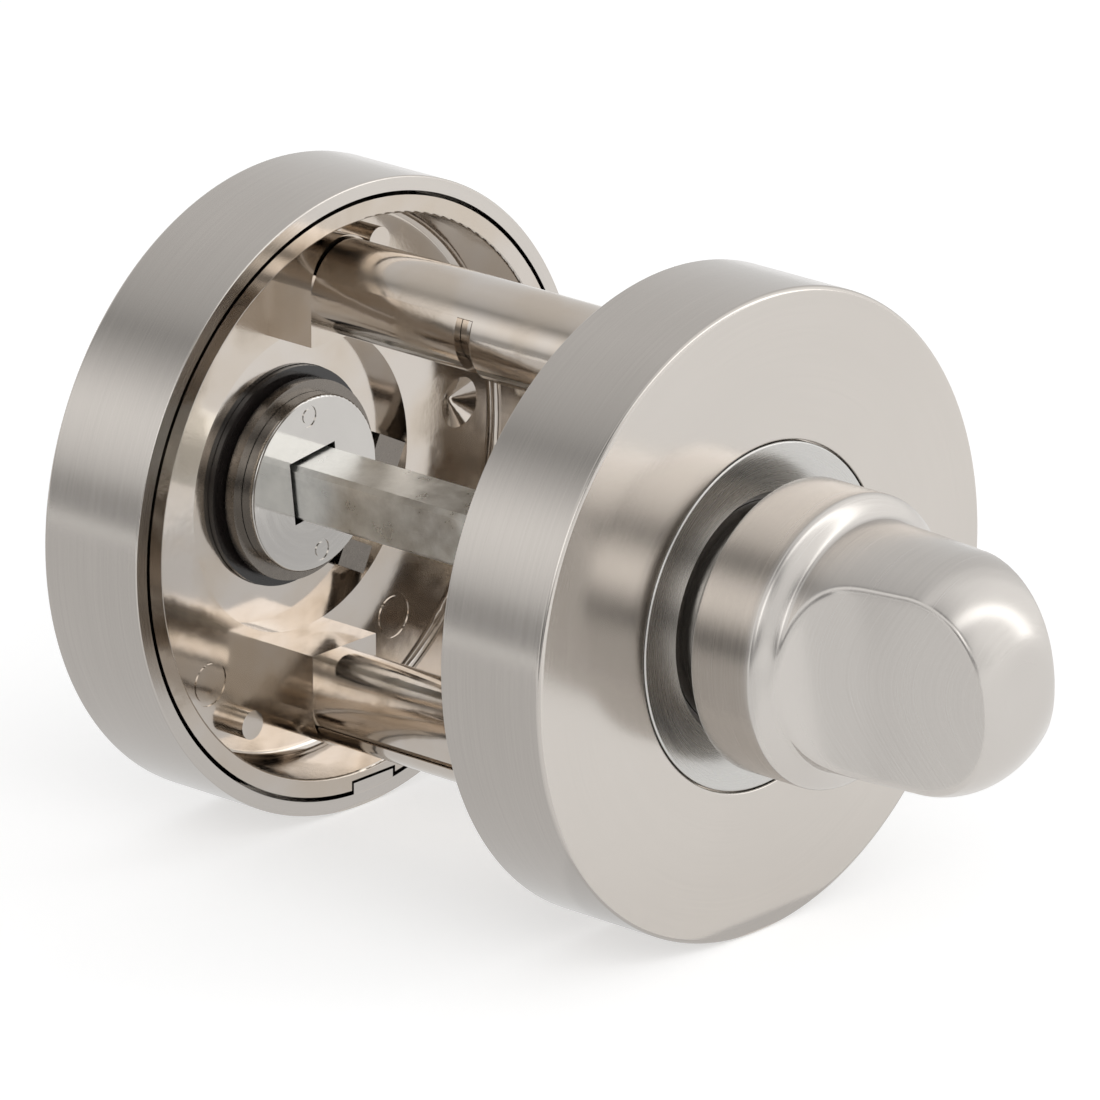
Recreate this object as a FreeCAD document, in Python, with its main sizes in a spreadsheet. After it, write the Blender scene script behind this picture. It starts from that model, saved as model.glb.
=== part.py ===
import FreeCAD, Part
import math
import os
import Sketcher

# Bathroom thumb turn lock: two round roses clamped through a door, a thumb turn on one side,
# a coin release on the other and a square spindle between them.
# Frame: origin on the spindle axis, in the plane where the turn-side rose meets the door.
# +Z is up, the thumb turn faces -Y and the release side faces +Y.

# Driving dimensions, in millimetres and degrees. A depth is measured outwards from the door face.
DIMENSIONS = {
    "door_gap": (31.8, "distance between the two door faces"),
    "rose_dia": (52, "outside of both covers"),
    "rose_depth": (10, "depth of both covers"),
    "cover_wall": (1.2, "side wall of a cover"),
    "cover_face": (0.9, "front wall of a cover"),
    "cover_round": (0.4, "rounded outer edge of a cover"),
    "edge_round": (0.15, "fine rounding of exposed metal edges"),
    "tab_width": (4.6, "tooth on the inside of a cover's rim"),
    "tab_reach": (0.95, "how far the tooth stands in from the wall"),
    "tab_depth": (1.6, "tooth along the axis"),
    "tab_shift": (1.2, "tooth's offset to the side of the lowest point"),
    "tab_fit": (0.25, "clearance round the tooth"),
    "base_gap": (0.35, "gap between a base and its cover's wall"),
    "rim_width": (1.5, "flat rim of a base"),
    "floor_depth": (6.6, "door side of a base's floor"),
    "floor_wall": (1.8, "thickness of a base's floor"),
    "rim_round": (0.2, "rounded inner edge of a base's rim"),
    "cast_round": (0.8, "hollow rounding between a base's floor and rim"),
    "boss_dia": (30.6, "middle of a base, which meets the cover's front wall"),
    "recess_dia": (25, "recess round the hub in the release base"),
    "recess_depth": (8.3, "floor of that recess"),
    "turn_boss_dia": (26.8, "bearing boss behind the turn base"),
    "turn_boss_depth": (5.6, "door side of that boss"),
    "post_spacing": (34.2, "distance between the two posts"),
    "post_dia": (8, "round part of a turn-side post"),
    "post_reach": (17, "round part, measured from the door face"),
    "post_foot_dia": (9, "foot of a turn-side post, round the screw head"),
    "post_foot_depth": (2, "door side of that foot"),
    "sleeve_dia": (5.9, "thin end of a turn-side post"),
    "sleeve_entry": (3, "how far the sleeve passes the release-side door face"),
    "lap_entry": (1.6, "how far the half round on top of the sleeve passes that face"),
    "sleeve_chamfer": (0.4, "bevel at the sleeve's end"),
    "trough_dia": (7.4, "open half pipe that takes the sleeve"),
    "trough_reach": (13.1, "half pipe, measured from the door face"),
    "trough_lip": (1.7, "height of the half pipe's edges beyond the post's axis"),
    "trough_fit": (0.05, "clearance round the sleeve"),
    "pedestal_drop": (4.2, "inner side of a pedestal from the post's axis"),
    "pedestal_rise": (0.5, "springing of a pedestal's arch from the post's axis"),
    "pedestal_depth": (2, "door-side end of a pedestal"),
    "socket_depth": (4, "end of the bore in a pedestal"),
    "dimple_inset": (4.15, "drilled dimples of the release base from the rim's inner wall, across"),
    "dimple_rise": (1.7, "and from the middle, up on one side and down on the other"),
    "dimple_dia": (4.2, "mouth of a dimple"),
    "dimple_depth": (0.1, "straight part of a dimple"),
    "dimple_point": (118, "drill point of a dimple"),
    "mark_depth": (0.08, "ring marks left by the mould's ejectors"),
    "mark_width": (0.3, "width of such a mark"),
    "mark_dia": (3.8, "outside of the marks in the release base"),
    "mark_inset": (5, "middle of those marks from the rim's inner wall"),
    "lug_dia": (2.4, "small round boss beside a pedestal"),
    "lug_inset": (3.1, "middle of that boss from the rim's inner wall"),
    "lug_height": (1.6, "height of that boss"),
    "hub_mark_dia": (1.8, "outside of the marks on the hub's face"),
    "hub_mark_offset": (5.8, "those marks from the axis"),
    "screw_dia": (4, "fixing screw"),
    "screw_gap": (0.15, "clearance round a screw in its post"),
    "thread_fit": (0.02, "clearance between a screw and its thread"),
    "screw_head_dia": (7, "head of a fixing screw"),
    "screw_head_height": (2.2, "height of that head"),
    "screw_head_gap": (0.2, "clearance round the head"),
    "screw_tip_depth": (7.4, "end of a screw in the release base"),
    "driver_slot": (1.1, "width of the cross recess in a screw head"),
    "driver_reach": (4.2, "length of the cross recess"),
    "driver_depth": (1.3, "depth of the cross recess"),
    "collar_dia": (27.7, "trim ring in the turn cover"),
    "collar_gap": (0.12, "gap between the ring and the cover"),
    "collar_bore": (19.8, "bore of the ring"),
    "collar_dish": (0.35, "fall of the ring's face towards its bore"),
    "spigot_dia": (23, "ring's spigot in the turn base"),
    "spigot_depth": (6.2, "door-side end of the spigot"),
    "spigot_fit": (0.05, "clearance round the spigot"),
    "bush_fit": (0.05, "running clearance of both bushes"),
    "bush_front": (8.6, "outer end of the turn bush"),
    "bush_back": (5.8, "door-side end of the turn bush"),
    "neck_dia": (18, "neck of the thumb turn"),
    "neck_end": (3, "door-side end of the neck"),
    "circlip_depth": (4, "door side of the circlip"),
    "circlip_thick": (1, "thickness of the circlip"),
    "circlip_dia": (20.4, "outside of the circlip"),
    "groove_depth": (0.6, "groove for either retaining ring"),
    "ring_fit": (0.05, "clearance of a retaining ring in its groove"),
    "circlip_opening": (6, "opening of the circlip"),
    "washer_land": (0.75, "seat of the dished washer on the turn base's boss"),
    "washer_thick": (0.3, "thickness of that washer"),
    "washer_gap": (0.05, "clearance between that washer and the circlip"),
    "turn_body_dia": (23.4, "round body of the thumb turn"),
    "turn_stand_off": (2.6, "gap between the cover and that body"),
    "turn_body_length": (7.8, "length of that body"),
    "shoulder_slope": (1.3, "length of the sloping shoulder between that body and the grip"),
    "shoulder_round": (1.9, "rounding on both sides of that shoulder"),
    "shoulder_step": (1.3, "step from that body down to the grip"),
    "grip_fall": (0.7, "fall of the grip's radius towards its nose"),
    "grip_length": (17.4, "grip from the body to its nose"),
    "grip_root_thick": (13.4, "grip across its flats at the body"),
    "grip_tip_thick": (7.6, "grip across its flats at the nose"),
    "nose_round": (4.8, "rounded edge of the nose"),
    "scoop_round": (5, "hollow run-out of each flat"),
    "crest_round": (0.3, "rounded edge round each flat"),
    "rest_angle": (7, "thumb turn's lean from upright in the modelled position"),
    "spindle_side": (4.8, "square spindle"),
    "spindle_chamfer": (0.4, "bevelled corners of the spindle"),
    "spindle_fit": (0.05, "clearance of the spindle in the thumb turn"),
    "spindle_front": (18, "outer end of the spindle in the thumb turn"),
    "spindle_back": (8.2, "far end of the spindle in the hub"),
    "spindle_end_gap": (0.5, "room past either end of the spindle"),
    "pin_dia": (2, "cross pin through neck and spindle"),
    "pin_depth": (7.4, "place of the cross pin"),
    "pin_fit": (0.02, "clearance round the cross pin"),
    "pin_inset": (0.3, "pin's ends below the neck's surface"),
    "hub_dia": (14.5, "hub of the coin release"),
    "hub_face": (5.1, "door-side face of the hub"),
    "hub_play": (0.25, "play of the spindle in the hub"),
    "clip_depth": (6.3, "door side of the hub's clip"),
    "clip_thick": (0.9, "thickness of the clip"),
    "clip_dia": (16.4, "outside of the clip"),
    "clip_lug_reach": (10.6, "lugs of the clip from the axis"),
    "clip_lug_span": (11, "distance across both lugs"),
    "clip_opening": (6.4, "opening between the lugs"),
    "clip_angle": (27, "opening's turn below level"),
    "bush_dia": (18, "bush round the hub"),
    "bush_proud": (0.5, "bush standing proud of the recess floor"),
    "bush_end_gap": (0.05, "end play of the hub on its bush"),
    "coin_dia": (20.4, "outer disc of the coin release"),
    "coin_gap": (0.2, "gap between that disc and the cover"),
    "coin_lift": (0.4, "disc's inner face below the cover's outer face"),
    "coin_proud": (2.4, "disc standing proud of the cover"),
    "coin_round": (0.6, "rounded edge of that disc"),
    "slot_width": (2.2, "coin slot"),
    "slot_depth": (1.5, "depth of the coin slot"),
}

doc = FreeCAD.newDocument("ThumbTurnLock")
sheet = doc.addObject("Spreadsheet::Sheet", "Sizes")
for row, (alias, (value, meaning)) in enumerate(DIMENSIONS.items(), start=1):
    sheet.set(f"A{row}", meaning)
    sheet.set(f"B{row}", str(value))
    sheet.setAlias(f"B{row}", alias)
doc.recompute()


class Size:
    """A length together with the sheet expression that drives it."""

    def __init__(self, number, text):
        self.number = number
        self.text = text

    def __add__(self, other):
        return Size(self.number + number_of(other), f"({self.text} + {text_of(other)})")

    def __sub__(self, other):
        return Size(self.number - number_of(other), f"({self.text} - {text_of(other)})")

    def __mul__(self, other):
        return Size(self.number * number_of(other), f"({self.text} * {text_of(other)})")

    def __truediv__(self, other):
        return Size(self.number / number_of(other), f"({self.text} / {text_of(other)})")

    def __neg__(self):
        return Size(-self.number, f"(-1 * {self.text})")


def number_of(value):
    return value.number if isinstance(value, Size) else value


def text_of(value):
    return value.text if isinstance(value, Size) else str(value)


def size(alias):
    return Size(float(DIMENSIONS[alias][0]), f"Sizes.{alias}")


# Sizes that several pieces share
rose_radius = size("rose_dia") / 2
cover_inside = rose_radius - size("cover_wall")
cover_inner_face = size("rose_depth") - size("cover_face")
base_radius = cover_inside - size("base_gap")
rim_inside = base_radius - size("rim_width")
floor_back = size("floor_depth") + size("floor_wall")
post_offset = size("post_spacing") / 2
screw_radius = size("screw_dia") / 2
head_seat = floor_back - size("screw_head_gap") - size("screw_head_height")
spigot_bore = size("spigot_dia") / 2 + size("spigot_fit")
neck_radius = size("neck_dia") / 2
hub_radius = size("hub_dia") / 2
body_back = size("rose_depth") + size("turn_stand_off")
body_front = body_back + size("turn_body_length")
nose = body_front + size("grip_length")
coin_back = size("rose_depth") - size("coin_lift")
coin_front = size("rose_depth") + size("coin_proud")


def bind(target, path, value):
    """Give a property its number, tied to the sheet where the value comes from it."""
    if isinstance(value, Size):
        target.setExpression(path, value.text)
    else:
        setattr(target, path, value)


def new_body(label):
    body = doc.addObject("PartDesign::Body", label)
    body.Label = label
    return body


def new_sketch(body, name, role, lift=None):
    """Start a sketch on one of the body's own origin planes, raised by lift."""
    sketch = body.newObject("Sketcher::SketchObject", name)
    plane = next(part for part in body.Origin.OriginFeatures if part.Role == role)
    sketch.AttachmentSupport = (plane, [""])
    sketch.MapMode = "FlatFace"
    if lift is not None:
        sketch.setExpression("AttachmentOffset.Base.z", text_of(lift))
    return sketch


def fix_point(sketch, geometry, end, across, along):
    """Hold a point of a sketch at its distances from the sketch's origin; None leaves one free."""
    for kind, axis, place in (("DistanceX", -2, across), ("DistanceY", -1, along)):
        if place is None:
            continue
        if number_of(place) == 0:
            sketch.addConstraint(Sketcher.Constraint("PointOnObject", geometry, end, axis))
            continue
        index = sketch.addConstraint(Sketcher.Constraint(kind, -1, 1, geometry, end, number_of(place)))
        sketch.setExpression(f"Constraints[{index}]", text_of(place))


def add_outline(sketch, corners):
    """Draw a closed run of straight lines through corners."""
    points = [FreeCAD.Vector(number_of(across), number_of(along), 0) for across, along in corners]
    first = sketch.GeometryCount
    count = len(points)
    for index, point in enumerate(points):
        sketch.addGeometry(Part.LineSegment(point, points[(index + 1) % count]), False)
    for index, (across, along) in enumerate(corners):
        following = first + (index + 1) % count
        sketch.addConstraint(Sketcher.Constraint("Coincident", first + index, 2, following, 1))
        fix_point(sketch, first + index, 1, across, along)


def add_circle(sketch, across, along, diameter):
    centre = FreeCAD.Vector(number_of(across), number_of(along), 0)
    circle = Part.Circle(centre, FreeCAD.Vector(0, 0, 1), number_of(diameter) / 2)
    index = sketch.addGeometry(circle, False)
    fix_point(sketch, index, 3, across, along)
    constraint = sketch.addConstraint(Sketcher.Constraint("Diameter", index, number_of(diameter)))
    sketch.setExpression(f"Constraints[{constraint}]", text_of(diameter))


def add_block(sketch, left, right, low, high):
    add_outline(sketch, [(left, low), (right, low), (right, high), (left, high)])


def add_arch(sketch, half_width, low, spring):
    """Draw a block whose far side is a half circle, springing at the given height."""
    radius = number_of(half_width)
    height = number_of(spring)
    base = number_of(low)
    corners = [(-radius, height), (-radius, base), (radius, base), (radius, height)]
    points = [FreeCAD.Vector(across, along, 0) for across, along in corners]
    for start, end in zip(points, points[1:]):
        sketch.addGeometry(Part.LineSegment(start, end), False)
    top = FreeCAD.Vector(0, height + radius, 0)
    arc = sketch.addGeometry(Part.Arc(points[3], top, points[0]), False)
    for line in (0, 1):
        sketch.addConstraint(Sketcher.Constraint("Coincident", line, 2, line + 1, 1))
    sketch.addConstraint(Sketcher.Constraint("Coincident", 2, 2, arc, 1))
    sketch.addConstraint(Sketcher.Constraint("Coincident", 0, 1, arc, 2))
    fix_point(sketch, arc, 3, None, spring)
    fix_point(sketch, 1, 1, -half_width, low)
    fix_point(sketch, 1, 2, half_width, low)
    fix_point(sketch, 0, 1, -half_width, spring)
    fix_point(sketch, 2, 2, half_width, spring)


def add_segment(sketch, middle, diameter, chord):
    """Draw the part of a circle beyond a level chord."""
    radius = number_of(diameter) / 2
    level = number_of(chord)
    half = math.sqrt(radius ** 2 - (level - number_of(middle)) ** 2)
    left = FreeCAD.Vector(-half, level, 0)
    right = FreeCAD.Vector(half, level, 0)
    top = FreeCAD.Vector(0, number_of(middle) + radius, 0)
    line = sketch.addGeometry(Part.LineSegment(left, right), False)
    arc = sketch.addGeometry(Part.Arc(right, top, left), False)
    sketch.addConstraint(Sketcher.Constraint("Coincident", line, 2, arc, 1))
    sketch.addConstraint(Sketcher.Constraint("Coincident", arc, 2, line, 1))
    sketch.addConstraint(Sketcher.Constraint("Horizontal", line))
    fix_point(sketch, arc, 3, 0, middle)
    fix_point(sketch, line, 1, None, chord)
    constraint = sketch.addConstraint(Sketcher.Constraint("Diameter", arc, number_of(diameter)))
    sketch.setExpression(f"Constraints[{constraint}]", text_of(diameter))


def add_scooped_flat(sketch, outside, shoulder, top):
    """Draw what is cut away beside one flat: a shoulder, a hollow run-out and a tapering face."""
    root = size("grip_root_thick") / 2
    taper = (size("grip_root_thick") - size("grip_tip_thick")) / 2
    far = root - taper * (top - shoulder) / size("grip_length")
    corner = FreeCAD.Vector(root.number, shoulder.number, 0)
    far_corner = FreeCAD.Vector(far.number, top.number, 0)
    radius = size("scoop_round").number
    along_face = (far_corner - corner).normalize()
    along_shoulder = FreeCAD.Vector(1, 0, 0)
    setback = radius / math.tan(along_face.getAngle(along_shoulder) / 2)
    face_end = corner + along_face * setback
    shoulder_end = corner + along_shoulder * setback
    centre = shoulder_end + FreeCAD.Vector(0, radius, 0)
    middle = centre + (corner - centre).normalize() * radius
    low_corner = FreeCAD.Vector(outside.number, shoulder.number, 0)
    high_corner = FreeCAD.Vector(outside.number, top.number, 0)
    points = [shoulder_end, low_corner, high_corner, far_corner, face_end]
    for start, end in zip(points, points[1:]):
        sketch.addGeometry(Part.LineSegment(start, end), False)
    arc = sketch.addGeometry(Part.Arc(face_end, middle, shoulder_end), False)
    mark = sketch.addGeometry(Part.Point(corner), True)
    for line in (0, 1, 2):
        sketch.addConstraint(Sketcher.Constraint("Coincident", line, 2, line + 1, 1))
    sketch.addConstraint(Sketcher.Constraint("Tangent", 3, 2, arc, 1))
    sketch.addConstraint(Sketcher.Constraint("Tangent", arc, 2, 0, 1))
    fix_point(sketch, mark, 1, root, shoulder)
    sketch.addConstraint(Sketcher.Constraint("PointOnObject", mark, 1, 3))
    fix_point(sketch, 0, 1, None, shoulder)
    fix_point(sketch, 1, 1, outside, shoulder)
    fix_point(sketch, 2, 1, outside, top)
    fix_point(sketch, 3, 1, far, top)
    constraint = sketch.addConstraint(Sketcher.Constraint("Radius", arc, radius))
    sketch.setExpression(f"Constraints[{constraint}]", size("scoop_round").text)


def turn_profile(body, name, corners):
    """Turn a closed profile of (radius, depth) corners round the body's axis."""
    sketch = new_sketch(body, name + "_profile", "XZ_Plane")
    add_outline(sketch, corners)
    feature = body.newObject("PartDesign::Revolution", name)
    feature.Profile = sketch
    feature.ReferenceAxis = (sketch, ["V_Axis"])
    feature.Angle = 360
    doc.recompute()
    return feature


def pad(body, name, sketch, length, inwards=False):
    """Raise a sketch outwards along the axis, or towards the door."""
    feature = body.newObject("PartDesign::Pad", name)
    feature.Profile = sketch
    feature.Reversed = inwards
    bind(feature, "Length", length)
    doc.recompute()
    return feature


def pocket(body, name, sketch, length, outwards=False):
    """Cut a sketch towards the door, or outwards, and make sure that it cut something."""
    before = body.Shape.Volume
    feature = body.newObject("PartDesign::Pocket", name)
    feature.Profile = sketch
    feature.Reversed = outwards
    bind(feature, "Length", length)
    doc.recompute()
    if not feature.isValid() or feature.Shape.Volume > before - 1e-6:
        raise RuntimeError(f"{body.Label}: {name} cut nothing")
    return feature


def pocket_both_ways(body, name, sketch):
    """Cut a sketch right through, to both sides of its plane."""
    before = body.Shape.Volume
    feature = body.newObject("PartDesign::Pocket", name)
    feature.Profile = sketch
    feature.SideType = "Symmetric"
    feature.Type = "ThroughAll"
    doc.recompute()
    if feature.Shape.Volume > before - 1e-6:
        raise RuntimeError(f"{body.Label}: {name} cut nothing")
    return feature


def drill(body, name, sketch, diameter, depth, point):
    """Drill blind holes outwards at the sketch's circles, each ending in the drill's point."""
    doc.recompute()
    before = body.Shape.Volume
    feature = body.newObject("PartDesign::Hole", name)
    feature.Profile = sketch
    feature.Reversed = True
    feature.DepthType = "Dimension"
    feature.DrillPoint = "Angled"
    bind(feature, "Diameter", diameter)
    bind(feature, "Depth", depth)
    bind(feature, "DrillPointAngle", point)
    doc.recompute()
    if feature.Shape.Volume > before - 1e-6:
        raise RuntimeError(f"{body.Label}: {name} cut nothing")
    return feature


def mark_rings(body, name, lift, diameter, places):
    """Sink shallow ring marks into a face that looks towards the door."""
    sketch = new_sketch(body, name + "_outline", "XY_Plane", lift)
    for across, along in places:
        add_circle(sketch, across, along, diameter)
        add_circle(sketch, across, along, diameter - size("mark_width") * 2)
    return pocket(body, name, sketch, size("mark_depth"), outwards=True)


def round_edges(body, name, chosen, radius, kind="Fillet"):
    """Round or bevel the edges of the body's last feature that chosen accepts."""
    base = body.Tip
    edges = [f"Edge{number}" for number, edge in enumerate(base.Shape.Edges, start=1) if chosen(edge)]
    if not edges:
        raise RuntimeError(f"{body.Label}: {name} found no edge")
    feature = body.newObject("PartDesign::" + kind, name)
    feature.Base = (base, edges)
    bind(feature, "Radius" if kind == "Fillet" else "Size", radius)
    doc.recompute()
    return feature


def circle_edge(radius, depth):
    """Accept full circles round the axis at a radius and depth."""
    def accept(edge):
        curve = edge.Curve
        if not isinstance(curve, Part.Circle):
            return False
        middle = edge.BoundBox.Center
        off_axis = abs(middle.x) + abs(middle.y)
        same_radius = abs(curve.Radius - number_of(radius)) < 1e-4
        return off_axis < 1e-4 and same_radius and abs(middle.z - number_of(depth)) < 1e-4
    return accept


def repeat_round(body, name, features, count):
    """Repeat features evenly round the axis."""
    pattern = body.newObject("PartDesign::PolarPattern", name)
    axis = next(part for part in body.Origin.OriginFeatures if part.Role == "Z_Axis")
    pattern.Originals = features
    pattern.Axis = (axis, [""])
    pattern.Angle = 360
    pattern.Occurrences = count
    body.Tip = pattern
    doc.recompute()
    return pattern


X_AXIS = FreeCAD.Vector(1, 0, 0)
Z_AXIS = FreeCAD.Vector(0, 0, 1)


def place_turn_side(body, spin=0):
    """Stand a body on the turn side: its depth runs to -Y, its second axis is up."""
    spinning = FreeCAD.Rotation(Z_AXIS, number_of(spin))
    body.Placement = FreeCAD.Placement(FreeCAD.Vector(), FreeCAD.Rotation(X_AXIS, 90) * spinning)


def place_release_side(body, spin=0):
    """Stand a body on the release side: its depth runs to +Y, its second axis is down."""
    spinning = FreeCAD.Rotation(Z_AXIS, number_of(spin))
    body.Placement = FreeCAD.Placement(FreeCAD.Vector(), FreeCAD.Rotation(X_AXIS, -90) * spinning)
    body.setExpression("Placement.Base.y", size("door_gap").text)


# Covers
def make_cover(label, hole_radius, downwards):
    """Drawn cap with a centre hole and a tooth inside its rim, at the lowest point."""
    body = new_body(label)
    depth = size("rose_depth")
    turn_profile(body, "cap", [
        (hole_radius, cover_inner_face),
        (cover_inside, cover_inner_face),
        (cover_inside, 0),
        (rose_radius, 0),
        (rose_radius, depth),
        (hole_radius, depth),
    ])
    sketch = new_sketch(body, "tooth_outline", "XY_Plane")
    half = size("tab_width") / 2
    left = size("tab_shift") - half
    right = size("tab_shift") + half
    near = (cover_inside - size("tab_reach")) * downwards
    far = (cover_inside + size("cover_wall") / 2) * downwards
    add_block(sketch, left, right, near, far)
    pad(body, "tooth", sketch, size("tab_depth"))
    round_edges(body, "outer_round", circle_edge(rose_radius, depth), size("cover_round"))
    round_edges(body, "hole_round", circle_edge(hole_radius, depth), size("edge_round"))
    round_edges(body, "rim_round", circle_edge(rose_radius, 0), size("edge_round"))
    return body


# Bases
def cut_tooth_notch(body, downwards):
    """Clear the cover's tooth out of a base's rim."""
    sketch = new_sketch(body, "tooth_notch_outline", "XY_Plane")
    half = size("tab_width") / 2 + size("tab_fit")
    left = size("tab_shift") - half
    right = size("tab_shift") + half
    near = (cover_inside - size("tab_reach") - size("tab_fit")) * downwards
    far = rose_radius * downwards
    add_block(sketch, left, right, near, far)
    pocket(body, "tooth_notch", sketch, size("tab_depth") + size("tab_fit"), outwards=True)


def soften_casting(body):
    """Round the rim's inner edge and the corner between the floor and the rim."""
    round_edges(body, "rim_round", circle_edge(rim_inside, 0), size("rim_round"))
    round_edges(body, "floor_round", circle_edge(rim_inside, size("floor_depth")), size("cast_round"))


def make_turn_base():
    """Cast base with a bearing boss and two posts that end in sleeves."""
    body = new_body("turn_base")
    bore = spigot_bore
    boss = size("boss_dia") / 2
    inner_boss = size("turn_boss_dia") / 2
    turn_profile(body, "casting", [
        (bore, size("turn_boss_depth")),
        (inner_boss, size("turn_boss_depth")),
        (inner_boss, size("floor_depth")),
        (rim_inside, size("floor_depth")),
        (rim_inside, 0),
        (base_radius, 0),
        (base_radius, floor_back),
        (boss, floor_back),
        (boss, cover_inner_face),
        (bore, cover_inner_face),
    ])
    soften_casting(body)
    root = size("floor_depth") + size("floor_wall") / 2
    steps = (
        ("foot", size("post_foot_dia"), root - size("post_foot_depth")),
        ("post", size("post_dia"), root + size("post_reach")),
        ("sleeve", size("sleeve_dia"), root + size("door_gap") + size("sleeve_entry")),
    )
    features = []
    for name, diameter, length in steps:
        sketch = new_sketch(body, name + "_outline", "XY_Plane", root)
        add_circle(sketch, 0, post_offset, diameter)
        features.append(pad(body, name, sketch, length, inwards=True))
    sketch = new_sketch(body, "lap_outline", "XY_Plane", root)
    chord = post_offset + size("trough_lip") + size("trough_fit")
    add_segment(sketch, post_offset, size("post_dia"), chord)
    features.append(pad(body, "lap", sketch, root + size("door_gap") + size("lap_entry"), inwards=True))
    sketch = new_sketch(body, "screw_hole_outline", "XY_Plane", floor_back)
    add_circle(sketch, 0, post_offset, size("screw_dia") + size("screw_gap") * 2)
    reach = floor_back + size("door_gap") + size("sleeve_entry")
    features.append(pocket(body, "screw_hole", sketch, reach))
    sketch = new_sketch(body, "head_seat_outline", "XY_Plane", floor_back)
    add_circle(sketch, 0, post_offset, size("screw_head_dia") + size("screw_head_gap") * 2)
    features.append(pocket(body, "head_seat", sketch, floor_back - head_seat))
    repeat_round(body, "both_posts", features, 2)
    cut_tooth_notch(body, -1)
    sleeve_end = -size("door_gap") - size("sleeve_entry")

    def sleeve_rim(edge):
        curve = edge.Curve
        at_end = abs(edge.BoundBox.Center.z - sleeve_end.number) < 1e-4
        outside = size("sleeve_dia").number / 2
        return isinstance(curve, Part.Circle) and at_end and abs(curve.Radius - outside) < 1e-4

    def post_shoulder(edge):
        curve = edge.Curve
        at_end = abs(edge.BoundBox.Center.z + size("post_reach").number) < 1e-4
        outside = size("post_dia").number / 2
        return isinstance(curve, Part.Circle) and at_end and abs(curve.Radius - outside) < 1e-4

    round_edges(body, "sleeve_bevel", sleeve_rim, size("sleeve_chamfer"), "Chamfer")
    round_edges(body, "shoulder_round", post_shoulder, size("rim_round"))
    place_turn_side(body)
    return body


def make_release_base():
    """Cast base with a recess round the hub and two open troughs on pedestals."""
    body = new_body("release_base")
    bore = size("bush_dia") / 2 + size("ring_fit")
    boss = size("boss_dia") / 2
    recess = size("recess_dia") / 2
    turn_profile(body, "casting", [
        (bore, size("recess_depth")),
        (recess, size("recess_depth")),
        (recess, size("floor_depth")),
        (rim_inside, size("floor_depth")),
        (rim_inside, 0),
        (base_radius, 0),
        (base_radius, floor_back),
        (boss, floor_back),
        (boss, cover_inner_face),
        (bore, cover_inner_face),
    ])
    soften_casting(body)
    root = size("floor_depth") + size("floor_wall") / 2
    half = size("trough_dia") / 2
    channel = size("sleeve_dia") + size("trough_fit") * 2
    tapped = size("screw_dia") + size("thread_fit") * 2
    features = []
    sketch = new_sketch(body, "pedestal_outline", "XY_Plane", root)
    add_arch(sketch, half, post_offset - size("pedestal_drop"), post_offset + size("pedestal_rise"))
    features.append(pad(body, "pedestal", sketch, root - size("pedestal_depth"), inwards=True))
    sketch = new_sketch(body, "trough_outline", "XY_Plane", root)
    add_circle(sketch, 0, post_offset, size("trough_dia"))
    features.append(pad(body, "trough", sketch, root + size("trough_reach"), inwards=True))
    sketch = new_sketch(body, "opening_outline", "XY_Plane", size("pedestal_depth"))
    lip = post_offset + size("trough_lip")
    brim = half + size("trough_fit")
    add_block(sketch, -brim, brim, lip, post_offset + brim)
    opening = size("pedestal_depth") + size("trough_reach")
    features.append(pocket(body, "trough_opening", sketch, opening))
    sketch = new_sketch(body, "channel_outline", "XY_Plane", size("socket_depth"))
    add_circle(sketch, 0, post_offset, channel)
    features.append(pocket(body, "channel", sketch, size("socket_depth") + size("trough_reach")))
    sketch = new_sketch(body, "tapped_outline", "XY_Plane", floor_back)
    add_circle(sketch, 0, post_offset, tapped)
    features.append(pocket(body, "tapped_hole", sketch, floor_back))
    repeat_round(body, "both_posts", features, 2)
    cut_tooth_notch(body, 1)
    sketch = new_sketch(body, "dimple_outline", "XY_Plane", size("floor_depth"))
    for side in (1, -1):
        across = (rim_inside - size("dimple_inset")) * side
        add_circle(sketch, across, -size("dimple_rise") * side, size("dimple_dia"))
    drill(body, "dimples", sketch, size("dimple_dia"), size("dimple_depth"), size("dimple_point"))
    reach = rim_inside - size("mark_inset")
    offset = reach * 0.6
    drop = reach * 0.8
    marks = [(offset, drop), (-offset, drop), (offset, -drop), (-offset, -drop)]
    mark_rings(body, "ejector_marks", size("floor_depth"), size("mark_dia"), marks)
    sketch = new_sketch(body, "lug_outline", "XY_Plane", root)
    reach = rim_inside - size("lug_inset")
    for side in (1, -1):
        add_circle(sketch, reach * 0.38 * side, reach * -0.925 * side, size("lug_dia"))
    pad(body, "lugs", sketch, size("floor_wall") / 2 + size("lug_height"), inwards=True)
    place_release_side(body)
    return body


# Turn side
def make_turn_collar():
    """Trim ring with a dished face and a spigot in the turn base."""
    body = new_body("turn_collar")
    bore = size("collar_bore") / 2
    spigot = size("spigot_dia") / 2
    outside = size("collar_dia") / 2
    turn_profile(body, "ring", [
        (bore, size("spigot_depth")),
        (spigot, size("spigot_depth")),
        (spigot, cover_inner_face),
        (outside, cover_inner_face),
        (outside, size("rose_depth")),
        (bore, size("rose_depth") - size("collar_dish")),
    ])
    round_edges(body, "outer_round", circle_edge(outside, size("rose_depth")), size("edge_round"))
    place_turn_side(body)
    return body


def make_turn_bush():
    """Plain bearing between the neck and the collar."""
    body = new_body("turn_bush")
    inside = neck_radius + size("bush_fit")
    outside = size("collar_bore") / 2 - size("bush_fit")
    turn_profile(body, "bush", [
        (inside, size("bush_back")),
        (outside, size("bush_back")),
        (outside, size("bush_front")),
        (inside, size("bush_front")),
    ])
    place_turn_side(body)
    return body


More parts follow.
